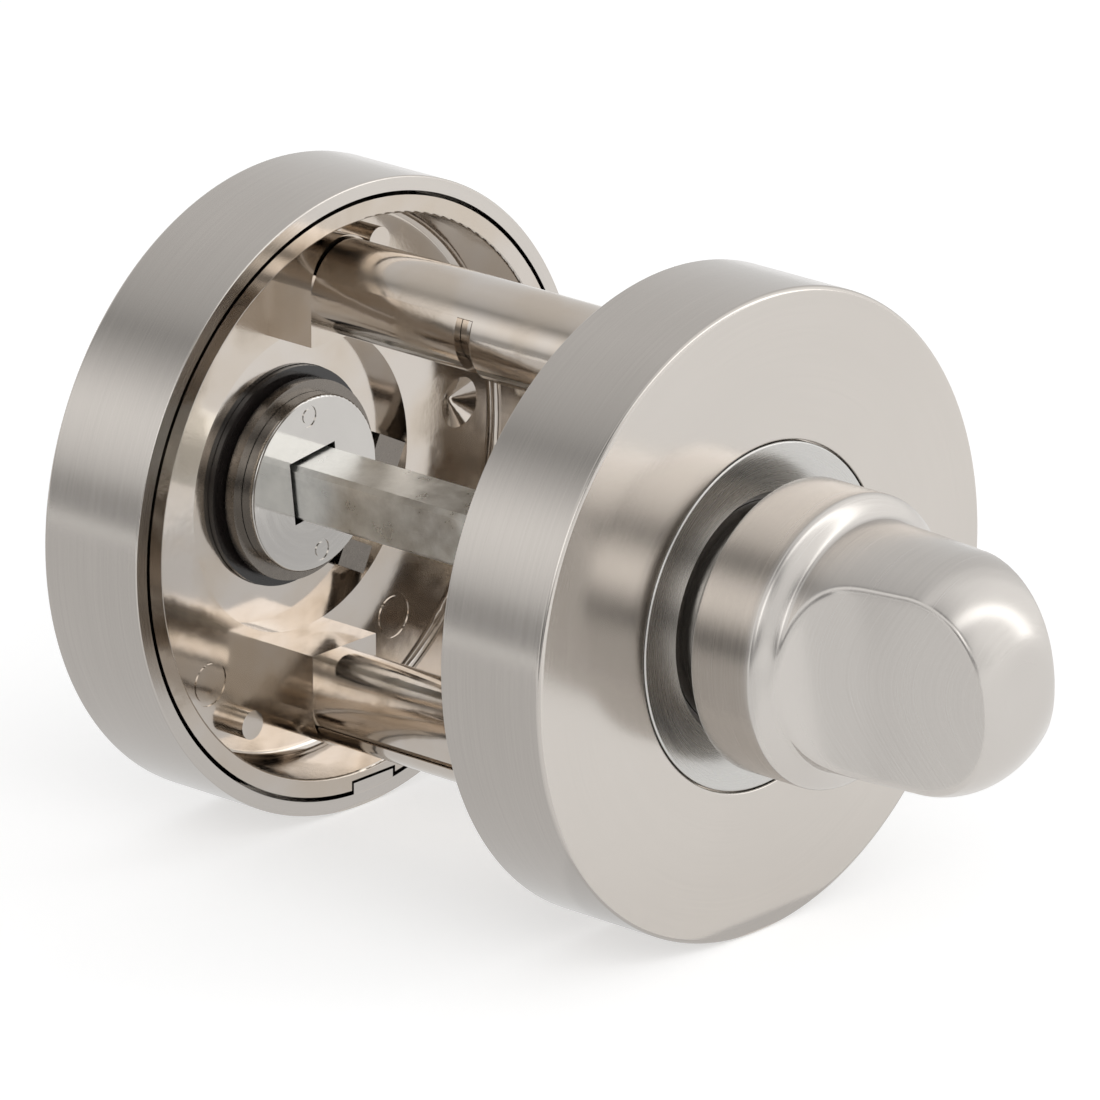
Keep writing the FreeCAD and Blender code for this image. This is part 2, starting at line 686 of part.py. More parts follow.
def make_thumb_turn():
    """Turned knob: neck, round body and a grip with two tapered flats."""
    body = new_body("thumb_turn")
    groove = neck_radius - size("groove_depth")
    groove_front = size("circlip_depth") + size("circlip_thick") + size("ring_fit")
    groove_back = size("circlip_depth") - size("ring_fit")
    body_radius = size("turn_body_dia") / 2
    grip_root = body_radius - size("shoulder_step")
    grip_tip = grip_root - size("grip_fall")
    shoulder = body_front - size("shoulder_slope")
    turn_profile(body, "knob", [
        (0, size("neck_end")),
        (neck_radius, size("neck_end")),
        (neck_radius, groove_back),
        (groove, groove_back),
        (groove, groove_front),
        (neck_radius, groove_front),
        (neck_radius, body_back),
        (body_radius, body_back),
        (body_radius, shoulder),
        (grip_root, body_front),
        (grip_tip, nose),
        (0, nose),
    ])
    round_edges(body, "nose_rounding", circle_edge(grip_tip, nose), size("nose_round"))
    round_edges(body, "body_rounding", circle_edge(body_radius, shoulder), size("shoulder_round"))
    round_edges(body, "root_rounding", circle_edge(grip_root, body_front), size("shoulder_round"))
    sketch = new_sketch(body, "square_socket_outline", "XY_Plane")
    half = size("spindle_side") / 2 + size("spindle_fit")
    add_block(sketch, -half, half, -half, half)
    pocket(body, "square_socket", sketch, size("spindle_front") + size("spindle_end_gap"), outwards=True)
    sketch = new_sketch(body, "pin_hole_outline", "XZ_Plane")
    add_circle(sketch, 0, size("pin_depth"), size("pin_dia") + size("pin_fit") * 2)
    pocket_both_ways(body, "pin_hole", sketch)
    sketch = new_sketch(body, "flat_outline", "XZ_Plane")
    add_scooped_flat(sketch, size("turn_body_dia"), body_front, nose + size("grip_length"))
    flat = pocket_both_ways(body, "flat", sketch)
    mirrored = body.newObject("PartDesign::Mirrored", "both_flats")
    mirrored.Originals = [flat]
    plane = next(part for part in body.Origin.OriginFeatures if part.Role == "YZ_Plane")
    mirrored.MirrorPlane = (plane, [""])
    body.Tip = mirrored
    doc.recompute()
    fall = (size("grip_root_thick") - size("grip_tip_thick")).number / 2 / size("grip_length").number

    def crest(edge):
        """Edges of the two flats, apart from where they run into the scoops."""
        first, last = edge.ParameterRange
        for step in range(5):
            point = edge.valueAt(first + (last - first) * step / 4)
            half = size("grip_root_thick").number / 2 - fall * (point.z - body_front.number)
            if abs(abs(point.x) - half) > 1e-3:
                return False
        return edge.BoundBox.ZLength > 1e-3

    round_edges(body, "crest_rounding", crest, size("crest_round"))
    place_turn_side(body, size("rest_angle"))
    return body


def make_split_ring(label, inside, outside, depth, thick, opening):
    """Flat ring cut open on one side."""
    body = new_body(label)
    sketch = new_sketch(body, "ring_outline", "XY_Plane", depth)
    add_circle(sketch, 0, 0, outside * 2)
    add_circle(sketch, 0, 0, inside * 2)
    pad(body, "ring", sketch, thick)
    sketch = new_sketch(body, "opening_outline", "XY_Plane", depth)
    add_block(sketch, 0, outside * 2, -opening / 2, opening / 2)
    pocket(body, "opening", sketch, thick, outwards=True)
    return body


def make_turn_circlip():
    inside = neck_radius - size("groove_depth") + size("ring_fit")
    outside = size("circlip_dia") / 2
    depth = size("circlip_depth")
    opening = size("circlip_opening")
    body = make_split_ring("turn_circlip", inside, outside, depth, size("circlip_thick"), opening)
    place_turn_side(body, size("rest_angle"))
    return body


def make_turn_washer():
    """Dished washer between the circlip and the base's boss."""
    body = new_body("turn_washer")
    inside = neck_radius + size("bush_fit")
    outside = spigot_bore + size("washer_land")
    low = size("circlip_depth") + size("circlip_thick") + size("washer_gap")
    high = size("turn_boss_depth")
    thick = size("washer_thick")
    turn_profile(body, "dish", [
        (inside, low),
        (outside, high - thick),
        (outside, high),
        (inside, low + thick),
    ])
    place_turn_side(body)
    return body


def make_spindle():
    """Square bar with bevelled corners, drilled for its pin."""
    body = new_body("spindle")
    far_end = size("door_gap") + size("spindle_back")
    half = size("spindle_side") / 2
    sketch = new_sketch(body, "bar_outline", "XY_Plane", -far_end)
    add_block(sketch, -half, half, -half, half)
    pad(body, "bar", sketch, far_end + size("spindle_front"))

    def corner(edge):
        return edge.BoundBox.ZLength > size("door_gap").number

    round_edges(body, "corner_bevels", corner, size("spindle_chamfer"), "Chamfer")
    sketch = new_sketch(body, "pin_hole_outline", "XZ_Plane")
    add_circle(sketch, 0, size("pin_depth"), size("pin_dia") + size("pin_fit") * 2)
    pocket_both_ways(body, "pin_hole", sketch)
    place_turn_side(body, size("rest_angle"))
    return body


def make_spindle_pin():
    body = new_body("spindle_pin")
    half = neck_radius - size("pin_inset")
    sketch = new_sketch(body, "pin_outline", "XZ_Plane", -half)
    add_circle(sketch, 0, size("pin_depth"), size("pin_dia"))
    pad(body, "pin", sketch, half * 2)
    place_turn_side(body, size("rest_angle"))
    return body


def make_screw(label, side):
    """Pan head screw with a cross recess, along one post."""
    body = new_body(label)
    head = size("screw_head_dia") / 2
    tip = -size("door_gap") - size("screw_tip_depth")
    top = head_seat + size("screw_head_height")
    turn_profile(body, "shank", [
        (0, tip),
        (screw_radius / 2, tip),
        (screw_radius, tip + screw_radius),
        (screw_radius, head_seat),
        (head, head_seat),
        (head, top),
        (0, top),
    ])
    round_edges(body, "head_rounding", circle_edge(head, top), size("screw_head_height") / 2)
    half = size("driver_slot") / 2
    reach = size("driver_reach") / 2
    sketch = new_sketch(body, "cross_outline", "XY_Plane", top)
    add_outline(sketch, [
        (-half, -reach), (half, -reach), (half, -half), (reach, -half), (reach, half), (half, half),
        (half, reach), (-half, reach), (-half, half), (-reach, half), (-reach, -half), (-half, -half),
    ])
    pocket(body, "cross", sketch, size("driver_depth"))
    place_turn_side(body)
    body.setExpression("Placement.Base.z", (post_offset * side).text)
    return body


# Release side
def make_coin_release():
    """Hub with a square hole to the door and a slotted disc outside."""
    body = new_body("coin_release")
    groove = hub_radius - size("groove_depth")
    groove_back = size("clip_depth") - size("ring_fit")
    groove_front = size("clip_depth") + size("clip_thick") + size("ring_fit")
    disc = size("coin_dia") / 2
    turn_profile(body, "hub", [
        (0, size("hub_face")),
        (hub_radius, size("hub_face")),
        (hub_radius, groove_back),
        (groove, groove_back),
        (groove, groove_front),
        (hub_radius, groove_front),
        (hub_radius, coin_back),
        (disc, coin_back),
        (disc, coin_front),
        (0, coin_front),
    ])
    round_edges(body, "disc_rounding", circle_edge(disc, coin_front), size("coin_round"))
    round_edges(body, "hub_rounding", circle_edge(hub_radius, size("hub_face")), size("rim_round"))
    offset = size("hub_mark_offset")
    mark_rings(body, "hub_marks", size("hub_face"), size("hub_mark_dia"), [(0, offset), (0, -offset)])
    sketch = new_sketch(body, "square_hole_outline", "XY_Plane")
    half = size("spindle_side") / 2 + size("hub_play")
    add_block(sketch, -half, half, -half, half)
    pocket(body, "square_hole", sketch, size("spindle_back") + size("spindle_end_gap"), outwards=True)
    sketch = new_sketch(body, "coin_slot_outline", "XY_Plane", coin_front)
    half = size("slot_width") / 2
    add_block(sketch, -half, half, -disc, disc)
    pocket(body, "coin_slot", sketch, size("slot_depth"))
    place_release_side(body, -size("rest_angle"))
    return body


def make_release_bush():
    """Dark ring that carries the hub in the release base."""
    body = new_body("release_bush")
    inside = hub_radius + size("bush_fit")
    outside = size("bush_dia") / 2
    near = size("recess_depth") - size("bush_proud")
    far = coin_back - size("bush_end_gap")
    turn_profile(body, "bush", [(inside, near), (outside, near), (outside, far), (inside, far)])
    place_release_side(body)
    return body


def make_release_clip():
    """Open ring with two square lugs, in the hub's groove."""
    inside = hub_radius - size("groove_depth") + size("ring_fit")
    outside = size("clip_dia") / 2
    depth = size("clip_depth")
    opening = size("clip_opening")
    body = make_split_ring("release_clip", inside, outside, depth, size("clip_thick"), opening)
    inner = opening / 2
    outer = size("clip_lug_span") / 2
    root = hub_radius
    for name, side in (("upper_lug", -1), ("lower_lug", 1)):
        sketch = new_sketch(body, name + "_outline", "XY_Plane", depth)
        add_block(sketch, root, size("clip_lug_reach"), inner * side, outer * side)
        pad(body, name, sketch, size("clip_thick"))
    place_release_side(body, size("clip_angle"))
    return body


turn_cover = make_cover("turn_cover", size("collar_dia") / 2 + size("collar_gap"), -1)
place_turn_side(turn_cover)
release_cover = make_cover("release_cover", size("coin_dia") / 2 + size("coin_gap"), 1)
place_release_side(release_cover)
pieces = [
    turn_cover,
    make_turn_base(),
    make_turn_collar(),
    make_turn_bush(),
    make_thumb_turn(),
    make_turn_circlip(),
    make_turn_washer(),
    make_spindle(),
    make_spindle_pin(),
    make_screw("screw_upper", 1),
    make_screw("screw_lower", -1),
    release_cover,
    make_release_base(),
    make_release_bush(),
    make_coin_release(),
    make_release_clip(),
]
doc.recompute()

# Every feature has to be sound before anything is written
for item in doc.Objects:
    if "Invalid" in item.State or "Error" in item.State:
        raise RuntimeError(f"{item.Label} failed: {item.State}")
for piece in pieces:
    if piece.Shape.isNull() or not piece.Shape.isValid() or len(piece.Shape.Solids) != 1:
        raise RuntimeError(f"{piece.Label} is not one sound solid")

os.makedirs("parts", exist_ok=True)
for piece in pieces:
    piece.Shape.exportStep(os.path.join("parts", piece.Label + ".step"))
    print(f"{piece.Label}: {piece.Shape.Volume:.1f} mm3")
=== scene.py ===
import math

import bmesh
import bpy
from mathutils import Matrix, Vector


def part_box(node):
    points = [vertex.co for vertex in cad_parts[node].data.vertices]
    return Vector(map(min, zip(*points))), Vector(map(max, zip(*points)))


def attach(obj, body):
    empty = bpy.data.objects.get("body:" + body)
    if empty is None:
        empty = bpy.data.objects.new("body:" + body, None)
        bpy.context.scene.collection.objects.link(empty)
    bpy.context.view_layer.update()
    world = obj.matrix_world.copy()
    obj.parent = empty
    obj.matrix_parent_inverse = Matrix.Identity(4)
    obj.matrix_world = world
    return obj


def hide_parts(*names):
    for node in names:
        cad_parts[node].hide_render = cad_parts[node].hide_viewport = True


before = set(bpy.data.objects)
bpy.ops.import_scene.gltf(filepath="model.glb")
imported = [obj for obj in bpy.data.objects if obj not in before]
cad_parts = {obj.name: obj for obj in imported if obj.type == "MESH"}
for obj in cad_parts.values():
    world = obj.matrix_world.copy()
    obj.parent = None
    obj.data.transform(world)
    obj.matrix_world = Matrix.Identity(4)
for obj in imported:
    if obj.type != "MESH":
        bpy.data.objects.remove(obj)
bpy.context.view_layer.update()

# Bathroom thumb turn lock: satin nickel roses, plated castings and a zinc plated spindle.
# Everything is in metres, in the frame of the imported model: the spindle lies along Y.

bl_info = {
    "name": "Bathroom thumb turn lock",
    "version": (1, 0, 0),
    "blender": (4, 5, 0),
    "location": "View3D > Sidebar > Thumb turn",
    "description": "Gives the lock its finishes and sets it up in a plain studio",
    "category": "Object",
}

ROSE_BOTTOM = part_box("turn_cover")[0].z
DOOR_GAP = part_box("release_cover")[0].y
LOCK_MIDDLE = Vector((0, 0.016, 0))
SHARP_ANGLE = math.radians(40)

# Covers: radii, depths from the door and roundings
COVER_STEPS = 240
COVER_RADIUS = 0.026
COVER_INSIDE = 0.0248
COVER_DEPTH = 0.01
COVER_FLOOR = 0.0091
COVER_EDGE = 0.0004
RIM_EDGE = 0.00015
COLLAR_HOLE = 0.01397
HUB_HOLE = 0.0104
EDGE_STEPS = 8
# A flat starts this many roundings from its corner, so that its shading stays even
EDGE_SUPPORT = 1.3
TOOTH_SIZE = (0.0046, 0.0016, 0.0011)
TOOTH_SIDE = 0.0012
TOOTH_DEPTH = 0.00082
TOOTH_HEIGHT = -0.0244

# Thumb turn: neck, socket and body, and the number of rings along each stretch
KNOB_STEPS = 384
KNOB_LEAN = math.radians(-7)
SOCKET_HALF = 0.00245
SOCKET_END = 0.0185
NECK_END = 0.003
NECK_RADIUS = 0.009
GROOVE_RADIUS = 0.0084
GROOVE_BACK = 0.00395
GROOVE_FRONT = 0.00505
BODY_BACK = 0.0126
BODY_EDGE = 0.0003
BODY_EDGE_RINGS = 6
BODY_RINGS = 8
SHOULDER_RINGS = 8
GRIP_RINGS = 96
NOSE_RINGS = 48
NOSE_SHARES = (0.9, 0.6, 0.3)
SCOOP_POWER = 5
# Keeps the reach to a flat finite where it runs alongside
LEAST_COSINE = 0.01

# Brightness of the screens round the Y axis, by degrees from +X towards +Z
BACK_STRIPS = (
    (0, 0.86), (40, 0.84), (60, 0.82), (75, 0.82), (97, 0.74), (109, 0.65),
    (116, 0.54), (121, 0.42), (126, 0.52), (133, 0.74), (143, 1.10), (150, 1.22),
    (157, 1.18), (164, 1.08), (172, 0.85), (178, 0.50), (184, 0.46),
)
FRONT_STRIPS = (
    (0, 2.0), (40, 2.0), (75, 1.9), (100, 1.4), (112, 0.62), (121, 0.30), (128, 0.62),
    (138, 1.6), (150, 1.95), (160, 1.8), (170, 1.0), (178, 0.34), (184, 0.30),
)
# Screens: name, radius, both ends along Y, strips and gain
TENTS = (
    ("tent_back", 0.45, 0.05, 1.2, BACK_STRIPS, 1.0),
    ("tent_front", 0.45, -1.2, -0.05, FRONT_STRIPS, 0.6),
    ("tent_band", 0.44, -0.45, -0.31, FRONT_STRIPS, 1.25),
)
TENT_STEPS = 48
# Cards on the floor: name, middle along X and Y, width, depth and brightness
CARDS = (
    ("table_card", (-0.0425, 0.10), 0.185, 0.2, 0.80),
    ("near_card", (0.0075, -0.006), 0.085, 0.012, 0.74),
    ("flat_card", (-0.075, -0.06), 0.1, 0.12, 0.96),
    ("shade_back", (-0.325, 0.625), 0.25, 1.15, 0.5),
    ("shade_front", (-0.29, -0.425), 0.32, 0.75, 0.34),
)
CARD_LIFT = 0.0003
# Lamps: name, direction, width, height and power
LAMPS = (
    ("softbox_left", (-0.5, -0.63, 0.6), 0.8, 0.5, 2.2),
    ("softbox_right", (0.7, -0.63, 0.42), 0.6, 0.4, 1.4),
)
LAMP_DISTANCE = 0.9
WORLD_LIGHT = 0.6
FLOOR_GLOW = 0.45
SENSOR_WIDTH = 36
CLIP_NEAR = 0.01
CLIP_FAR = 20


class FinishSettings(bpy.types.PropertyGroup):
    """Colours of the lock's finishes."""

    satin: bpy.props.FloatVectorProperty(
        name="Satin nickel", description="Brushed covers", subtype="COLOR", size=3,
        min=0, max=1, default=(0.565, 0.53, 0.492))
    knob: bpy.props.FloatVectorProperty(
        name="Knob nickel", description="Thumb turn", subtype="COLOR", size=3,
        min=0, max=1, default=(0.55, 0.522, 0.492))
    collar: bpy.props.FloatVectorProperty(
        name="Collar nickel", description="Trim ring round the thumb turn", subtype="COLOR", size=3,
        min=0, max=1, default=(0.54, 0.53, 0.51))
    casting: bpy.props.FloatVectorProperty(
        name="Plated casting", description="Bright plate on both bases", subtype="COLOR", size=3,
        min=0, max=1, default=(0.57, 0.525, 0.48))
    casting_warm: bpy.props.FloatVectorProperty(
        name="Warm plate", description="Patches of warmer plate on the bases",
        subtype="COLOR", size=3, min=0, max=1, default=(0.54, 0.475, 0.405))
    hub: bpy.props.FloatVectorProperty(
        name="Bright hub", description="Hub of the coin release", subtype="COLOR", size=3,
        min=0, max=1, default=(0.52, 0.50, 0.475))
    zinc: bpy.props.FloatVectorProperty(
        name="Zinc plate", description="Spindle, pin and screws", subtype="COLOR", size=3,
        min=0, max=1, default=(0.88, 0.89, 0.87))
    spring: bpy.props.FloatVectorProperty(
        name="Spring steel", description="Clips and washer", subtype="COLOR", size=3,
        min=0, max=1, default=(0.20, 0.18, 0.16))
    turn_bush: bpy.props.FloatVectorProperty(
        name="Turn bush", description="Grey bearing ring round the thumb turn's neck",
        subtype="COLOR", size=3, min=0, max=1, default=(0.22, 0.21, 0.20))
    release_bush: bpy.props.FloatVectorProperty(
        name="Release bush", description="Dark bearing ring round the hub", subtype="COLOR", size=3,
        min=0, max=1, default=(0.016, 0.013, 0.012))


class KnobSettings(bpy.types.PropertyGroup):
    """Sizes of the thumb turn, measured from the door face along its axis."""

    body_radius: bpy.props.FloatProperty(
        name="Body", description="Radius of the round body", unit="LENGTH", default=0.0117)
    shoulder: bpy.props.FloatProperty(
        name="Shoulder", description="Where the body ends and the scoops start",
        unit="LENGTH", default=0.0192)
    shoulder_length: bpy.props.FloatProperty(
        name="Shoulder length", description="Soft fall from the body to the grip",
        unit="LENGTH", default=0.0017)
    root_radius: bpy.props.FloatProperty(
        name="Grip root", description="Radius of the grip at the body", unit="LENGTH", default=0.01)
    tip_radius: bpy.props.FloatProperty(
        name="Grip tip", description="Radius of the grip at its nose, before rounding",
        unit="LENGTH", default=0.0093)
    nose: bpy.props.FloatProperty(
        name="Nose", description="End of the grip", unit="LENGTH", default=0.03575)
    nose_round: bpy.props.FloatProperty(
        name="Nose rounding", description="Rounded edge of the nose", unit="LENGTH", default=0.0072)
    flat_root: bpy.props.FloatProperty(
        name="Flat at root", description="Axis to either flat at the shoulder",
        unit="LENGTH", default=0.006)
    flat_tip: bpy.props.FloatProperty(
        name="Flat at nose", description="Axis to either flat at the nose",
        unit="LENGTH", default=0.0042)
    scoop_length: bpy.props.FloatProperty(
        name="Scoop", description="Hollow run-out of each flat", unit="LENGTH", default=0.0088)
    crest_round: bpy.props.FloatProperty(
        name="Crest", description="Soft edge round each flat", unit="LENGTH", default=0.0005)


class StageSettings(bpy.types.PropertyGroup):
    """Camera, floor and light of the studio."""

    camera_azimuth: bpy.props.FloatProperty(
        name="Azimuth", description="Camera's direction round the lock", subtype="ANGLE",
        default=math.radians(-48.422))
    camera_elevation: bpy.props.FloatProperty(
        name="Elevation", description="Camera's height above level", subtype="ANGLE",
        default=math.radians(19.419))
    camera_roll: bpy.props.FloatProperty(
        name="Roll", description="Camera's turn about its own axis", subtype="ANGLE",
        default=math.radians(0.13))
    camera_distance: bpy.props.FloatProperty(
        name="Distance", description="Camera to the point it looks at", unit="LENGTH",
        default=0.93217)
    camera_target: bpy.props.FloatVectorProperty(
        name="Target", description="Point the camera looks at", subtype="TRANSLATION",
        default=(0.003622, 0.01518, -0.001449))
    lens: bpy.props.FloatProperty(
        name="Lens", description="Focal length on a 36 mm sensor", unit="CAMERA", default=388.85)
    floor_size: bpy.props.FloatProperty(
        name="Floor size", description="Side of the floor", unit="LENGTH", default=6.0)
    floor_colour: bpy.props.FloatVectorProperty(
        name="Floor", description="Pale floor", subtype="COLOR", size=3,
        min=0, max=1, default=(0.8, 0.8, 0.8))


# Node helpers
class Tree:
    """Short hand for building a node tree."""

    def __init__(self, owner):
        owner.use_nodes = True
        self.tree = owner.node_tree
        self.tree.nodes.clear()

    def node(self, kind, **settings):
        made = self.tree.nodes.new(kind)
        for name, value in settings.items():
            setattr(made, name, value)
        return made

    def link(self, source, target):
        self.tree.links.new(source, target)

    def put(self, value, socket):
        """Link a socket, or set a constant on it."""
        if isinstance(value, bpy.types.NodeSocket):
            self.link(value, socket)
        else:
            socket.default_value = value

    def math(self, operation, first, second=0.0):
        made = self.node("ShaderNodeMath", operation=operation)
        self.put(first, made.inputs[0])
        self.put(second, made.inputs[1])
        return made.outputs[0]

    def noise(self, vector, scale, detail=3.0, roughness=0.5):
        made = self.node("ShaderNodeTexNoise")
        self.link(vector, made.inputs["Vector"])
        made.inputs["Scale"].default_value = scale
        made.inputs["Detail"].default_value = detail
        made.inputs["Roughness"].default_value = roughness
        return made.outputs["Fac"]

    def spread(self, value, low, high, low_to, high_to):
        """Map a range of values to another, held at both ends."""
        made = self.node("ShaderNodeMapRange")
        self.link(value, made.inputs["Value"])
        made.inputs["From Min"].default_value = low
        made.inputs["From Max"].default_value = high
        made.inputs["To Min"].default_value = low_to
        made.inputs["To Max"].default_value = high_to
        return made.outputs["Result"]

    def mix(self, factor, first, second):
        made = self.node("ShaderNodeMix", data_type="RGBA")
        self.put(factor, made.inputs["Factor"])
        self.put(first, made.inputs["A"])
        self.put(second, made.inputs["B"])
        return made.outputs["Result"]

    def place(self, scale=(1, 1, 1)):
        """Position on the piece, in metres, stretched along each axis."""
        where = self.node("ShaderNodeTexCoord")
        stretch = self.node("ShaderNodeMapping")
        stretch.inputs["Scale"].default_value = scale
        self.link(where.outputs["Object"], stretch.inputs["Vector"])
        return stretch.outputs["Vector"]

    def bump(self, height, strength, distance):
        made = self.node("ShaderNodeBump")
        made.inputs["Strength"].default_value = strength
        made.inputs["Distance"].default_value = distance
        self.link(height, made.inputs["Height"])
        return made.outputs["Normal"]


def rgba(colour, gain=1.0):
    return (*[min(1.0, part * gain) for part in colour], 1.0)


def metal(name):
    """Start a metal: its tree and its shader."""
    material = bpy.data.materials.new(name)
    tree = Tree(material)
    shader = tree.node("ShaderNodeBsdfPrincipled")
    output = tree.node("ShaderNodeOutputMaterial")
    tree.link(shader.outputs["BSDF"], output.inputs["Surface"])
    shader.inputs["Metallic"].default_value = 1.0
    return material, tree, shader


def lathe_grain(tree, across, around):
    """Place for streaks round the Y axis: quick along the radius and Y, slow round the axis."""
    parts = tree.node("ShaderNodeSeparateXYZ")
    tree.link(tree.place(), parts.inputs[0])
    x, y, z = parts.outputs
    squares = tree.math("ADD", tree.math("MULTIPLY", x, x), tree.math("MULTIPLY", z, z))
    radius = tree.math("SQRT", squares)
    along = tree.math("ADD", tree.math("MULTIPLY", radius, across),
                      tree.math("MULTIPLY", y, across))
    joined = tree.node("ShaderNodeCombineXYZ")
    tree.link(tree.math("MULTIPLY", x, around), joined.inputs[0])
    tree.link(along, joined.inputs[1])
    tree.link(tree.math("MULTIPLY", z, around), joined.inputs[2])
    return joined.outputs[0]


def brushed_nickel(name, colour, roughness, anisotropy, grain=0.25, side=1.0):
    """Satin nickel brushed round the axis, with soft cloudy variation, and the sides along the axis
    darkened by the factor side as painted shade.
    """
    material, tree, shader = metal(name)
    normal = tree.node("ShaderNodeSeparateXYZ")
    tree.link(tree.node("ShaderNodeTexCoord").outputs["Normal"], normal.inputs[0])
    facing = tree.spread(tree.math("ABSOLUTE", normal.outputs[1]), 0.2, 0.8, 0, 1)
    streaks = tree.noise(lathe_grain(tree, across=9000, around=60), 1.0, 4.0, 0.6)
    cloud = tree.noise(tree.place(), 70.0, 2.0)
    shade = tree.math("ADD", tree.math("MULTIPLY", streaks, 0.6), tree.math("MULTIPLY", cloud, 0.4))
    light = tree.spread(shade, 0.3, 0.7, 0, 1)
    # Painted shade: side scales the colour where the surface runs along the axis, such as the rims,
    # standing in for dimmer reflections there.
    shaded_side = tree.mix(light, rgba(colour, 0.94 * side), rgba(colour, 1.05 * side))
    on_face = tree.mix(light, rgba(colour, 0.97), rgba(colour, 1.03))
    tree.link(tree.mix(facing, shaded_side, on_face), shader.inputs["Base Color"])
    uneven = tree.spread(streaks, 0.3, 0.7, roughness * 0.85, roughness * 1.15)
    tree.link(uneven, shader.inputs["Roughness"])
    tree.link(tree.bump(streaks, grain, distance=0.00001), shader.inputs["Normal"])
    tangent = tree.node("ShaderNodeTangent", direction_type="RADIAL", axis="Y")
    tree.link(tangent.outputs[0], shader.inputs["Tangent"])
    shader.inputs["Anisotropic"].default_value = anisotropy
    return material


def plated_casting(colour, warm):
    """Bright plate over a casting: wavy skin, warm patches and grainy islands."""
    material, tree, shader = metal("plated_casting")
    place = tree.place()
    patches = tree.noise(place, 140.0, 3.0, 0.5)
    skin = tree.noise(place, 380.0, 2.0, 0.5)
    grit = tree.noise(place, 2600.0, 3.0, 0.6)
    islands = tree.spread(patches, 0.54, 0.64, 0.0, 1.0)
    tree.link(tree.mix(tree.spread(patches, 0.38, 0.62, 0, 1), rgba(colour), rgba(warm)),
              shader.inputs["Base Color"])
    tree.link(tree.spread(islands, 0, 1, 0.11, 0.23), shader.inputs["Roughness"])
    grain = tree.math("MULTIPLY", tree.math("MULTIPLY", grit, islands), 0.6)
    height = tree.math("ADD", skin, grain)
    tree.link(tree.bump(height, strength=0.4, distance=0.00004), shader.inputs["Normal"])
    return material


def bright_plate(colour, roughness):
    """Smooth bright plate with faint swirl marks."""
    material, tree, shader = metal("bright_hub")
    swirl = tree.noise(lathe_grain(tree, across=2600, around=200), 1.0, 3.0, 0.6)
    cloud = tree.noise(tree.place(), 300.0, 2.0)
    tree.link(tree.mix(cloud, rgba(colour, 0.95), rgba(colour, 1.05)), shader.inputs["Base Color"])
    tree.link(tree.spread(swirl, 0.4, 0.7, roughness, roughness * 2.2), shader.inputs["Roughness"])
    tree.link(tree.bump(swirl, strength=0.1, distance=0.00001), shader.inputs["Normal"])
    return material


def zinc_plate(colour):
    """Dull grey-green plate with blotches and scratches along the bar."""
    material, tree, shader = metal("zinc_plate")
    blotch = tree.noise(tree.place(), 380.0, 5.0, 0.65)
    scratch = tree.noise(tree.place((3000, 160, 3000)), 1.0, 4.0, 0.65)
    mottled = tree.mix(tree.spread(blotch, 0.35, 0.65, 0, 1), rgba(colour, 0.85), rgba(colour, 1.1))
    scraped = tree.spread(scratch, 0.60, 0.75, 0, 0.6)
    tree.link(tree.mix(scraped, mottled, rgba(colour, 1.3)), shader.inputs["Base Color"])
    tree.link(tree.spread(blotch, 0.3, 0.7, 0.24, 0.42), shader.inputs["Roughness"])
    height = tree.math("ADD", scratch, blotch)
    tree.link(tree.bump(height, strength=0.3, distance=0.00003), shader.inputs["Normal"])
    return material


def spring_steel(colour):
    """Dark oiled steel with faint grain."""
    material, tree, shader = metal("spring_steel")
    grain = tree.noise(tree.place(), 1500.0, 3.0, 0.6)
    tree.link(tree.mix(grain, rgba(colour, 0.85), rgba(colour, 1.15)), shader.inputs["Base Color"])
    tree.link(tree.spread(grain, 0.3, 0.7, 0.18, 0.32), shader.inputs["Roughness"])
    tree.link(tree.bump(grain, strength=0.15, distance=0.00002), shader.inputs["Normal"])
    return material


def plastic_bush(name, colour):
    """Greasy bearing ring."""
    material, tree, shader = metal(name)
    shader.inputs["Metallic"].default_value = 0.0
    shader.inputs["Specular IOR Level"].default_value = 0.6
    smear = tree.noise(lathe_grain(tree, across=1500, around=200), 1.0, 3.0)
    tree.link(tree.mix(smear, rgba(colour, 0.7), rgba(colour, 1.6)), shader.inputs["Base Color"])
    tree.link(tree.spread(smear, 0.3, 0.7, 0.12, 0.35), shader.inputs["Roughness"])
    tree.link(tree.bump(smear, strength=0.2, distance=0.00002), shader.inputs["Normal"])
    return material


def dress(nodes, material):
    """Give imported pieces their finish."""
    for name in nodes:
        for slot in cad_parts[name].material_slots:
            slot.material = material


def add_object(name, data):
    made = bpy.data.objects.new(name, data)
    bpy.context.scene.collection.objects.link(made)
    return made


def add_piece(shape, node, body, material):
    """Make a piece of a shape, in place of a packed one."""
    mesh = bpy.data.meshes.new(node + "_fine")
    shape.to_mesh(mesh)
    shape.free()
    mesh.shade_smooth()
    mesh.set_sharp_from_angle(angle=SHARP_ANGLE)
    mesh.materials.append(material)
    piece = add_object(node + "_fine", mesh)
    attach(piece, body)
    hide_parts(node)


# Covers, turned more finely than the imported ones
def soft_outline(corners):
    """Outline through corners of a radius, a depth and a rounding."""
    outline = []
    for index, (radius, depth, rounding) in enumerate(corners):
        here = Vector((radius, depth))
        if rounding == 0:
            outline.append(here)
            continue
        after = corners[(index + 1) % len(corners)]
        inward = (here - Vector(corners[index - 1][:2])).normalized() * rounding
        onward = (Vector(after[:2]) - here).normalized() * rounding
        outline.append(here - inward * EDGE_SUPPORT)
        for step in range(EDGE_STEPS + 1):
            angle = math.radians(90 * step / EDGE_STEPS)
            outline.append(here - inward * (1 - math.sin(angle)) + onward * (1 - math.cos(angle)))
        outline.append(here + onward * EDGE_SUPPORT)
    return outline


